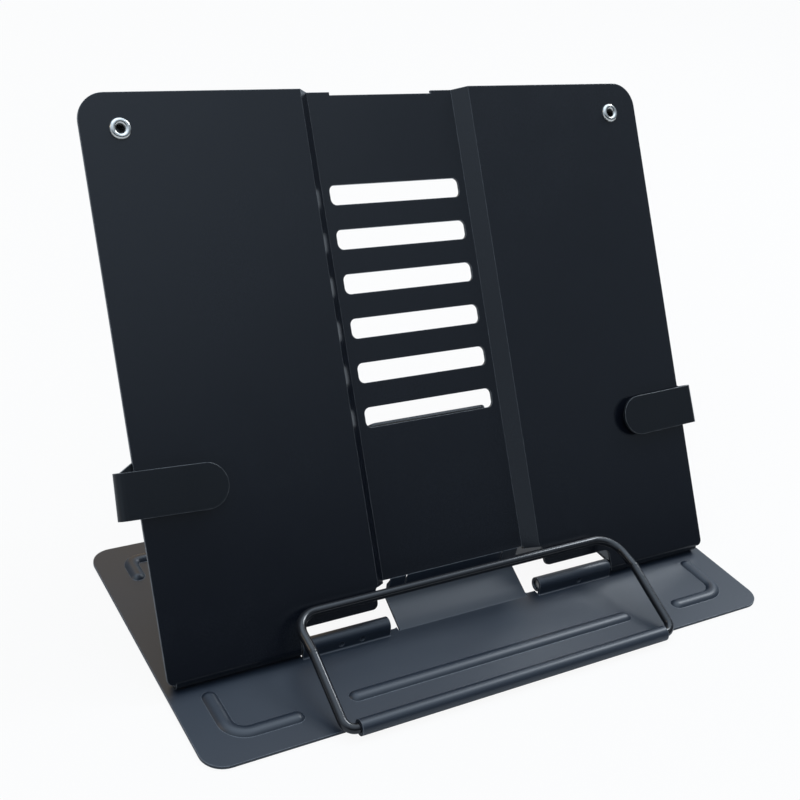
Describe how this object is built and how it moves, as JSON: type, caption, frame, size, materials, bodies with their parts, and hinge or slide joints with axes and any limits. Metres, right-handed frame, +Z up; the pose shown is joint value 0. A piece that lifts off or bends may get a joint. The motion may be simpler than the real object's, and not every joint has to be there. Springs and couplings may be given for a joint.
{
  "type": "book stand",
  "caption": "Folding sheet-steel book stand: base with hinged wire page bail, slotted tilting back plate with a prop strut, and swinging page clips.",
  "frame": {"origin": "on the desk at the middle of the base plate's front edge", "axes": "+X to the reader's right along the width, +Y towards the rear, +Z up"},
  "size_m": [0.2155, 0.1281, 0.1504],
  "materials": {
    "base_steel": "satin charcoal powder coat",
    "plate_steel": "satin charcoal powder coat",
    "strut_steel": "satin charcoal powder coat",
    "wire": "semi-gloss black coat",
    "arm_steel": "satin black coat",
    "pin_steel": "drawn wire",
    "rivet_nickel": "nickel plated"
  },
  "bodies": {
    "base": {"base_plate": "base_steel", "left_hinge_pin": "pin_steel", "right_hinge_pin": "pin_steel", "strut_hinge_pin": "pin_steel"},
    "back": {"back_plate": "plate_steel", "left_rivet": "rivet_nickel", "right_rivet": "rivet_nickel"},
    "strut": {"support_strut": "strut_steel"},
    "bail": {"wire_bail": "wire"},
    "left_arm": {"left_page_arm": "arm_steel"},
    "right_arm": {"right_page_arm": "arm_steel"}
  },
  "joints": [
    {"name": "back_fold", "type": "hinge", "parent": "base", "child": "back", "pos_m": [0, 0.0345, 0.00355], "axis": [1, 0, 0], "range_deg": [-54.7, 0]},
    {"name": "strut_fold", "type": "hinge", "parent": "base", "child": "strut", "pos_m": [0, 0.10485, 0.00225], "axis": [1, 0, 0], "range_deg": [-123.2, 0]},
    {"name": "bail_swing", "type": "hinge", "parent": "base", "child": "bail", "pos_m": [0, -0.002, 0.00245], "axis": [1, 0, 0], "range_deg": [0, 155]},
    {"name": "left_arm_swing", "type": "hinge", "parent": "back", "child": "left_arm", "pos_m": [-0.09015, 0.11581, 0.13995], "axis": [0, 0.859, -0.512], "range_deg": [-2.2, 35]},
    {"name": "right_arm_swing", "type": "hinge", "parent": "back", "child": "right_arm", "pos_m": [0.09015, 0.11581, 0.13995], "axis": [0, -0.859, 0.512], "range_deg": [-1.1, 35]}
  ],
  "couplings": [
    {"joint": "strut_fold", "follows": "back_fold", "ratio": 2.25}
  ]
}
